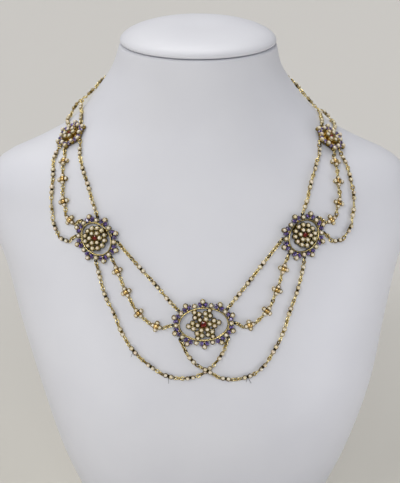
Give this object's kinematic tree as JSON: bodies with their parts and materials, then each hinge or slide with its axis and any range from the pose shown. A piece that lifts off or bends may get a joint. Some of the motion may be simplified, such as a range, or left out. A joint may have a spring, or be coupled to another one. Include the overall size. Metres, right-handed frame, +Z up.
{
  "type": "gold festoon necklace on a neck bust",
  "caption": "Gold festoon necklace with oval, round and rosette medallions set with seed pearls, violet petals and red stones, laid on a white leatherette neck bust.",
  "frame": {"origin": "on the base, on the upright axis of the bust's neck", "axes": "+Z up the bust, -Y towards the front of the chest, +X to the right as seen from the front"},
  "size_m": [0.226, 0.1356, 0.2673],
  "materials": {
    "leatherette": "fine matt grain",
    "gold": "polished yellow gold",
    "pearl": "pearly lustre",
    "violet_stone": "dark violet, glossy",
    "red_stone": "deep red, glossy, cut"
  },
  "bodies": {
    "root": {"bust_form": "leatherette", "bust_top_pad": "leatherette", "centre_frame": "gold", "centre_red_stone": "red_stone", "centre_star_pearls": "pearl", "centre_border_pearls": "pearl", "centre_petals": "violet_stone", "left_medallion_frame": "gold", "left_medallion_red_stone": "red_stone", "left_medallion_cluster_pearls": "pearl", "left_medallion_border_pearls": "pearl", "left_medallion_petals": "violet_stone", "right_medallion_frame": "gold", "right_medallion_red_stone": "red_stone", "right_medallion_cluster_pearls": "pearl", "right_medallion_border_pearls": "pearl", "right_medallion_petals": "violet_stone", "left_rosette_frame": "gold", "left_rosette_red_stone": "red_stone", "left_rosette_cluster_pearls": "pearl", "right_rosette_frame": "gold", "right_rosette_red_stone": "red_stone", "right_rosette_cluster_pearls": "pearl", "left_outer_chain": "gold", "left_inner_chain": "gold", "left_upper_chain": "gold", "left_swag_chain": "gold", "left_shoulder_flower_chain": "gold", "left_shoulder_flowers": "gold", "left_front_flower_chain": "gold", "left_front_flowers": "gold", "right_outer_chain": "gold", "right_inner_chain": "gold", "right_upper_chain": "gold", "right_swag_chain": "gold", "right_shoulder_flower_chain": "gold", "right_shoulder_flowers": "gold", "right_front_flower_chain": "gold", "right_front_flowers": "gold", "left_short_outer_chain": "gold", "left_short_inner_chain": "gold", "right_short_outer_chain": "gold", "right_short_inner_chain": "gold", "left_joining_ring": "gold", "right_joining_ring": "gold", "left_back_chain": "gold", "right_back_chain": "gold", "clasp": "gold"}
  },
  "joints": []
}
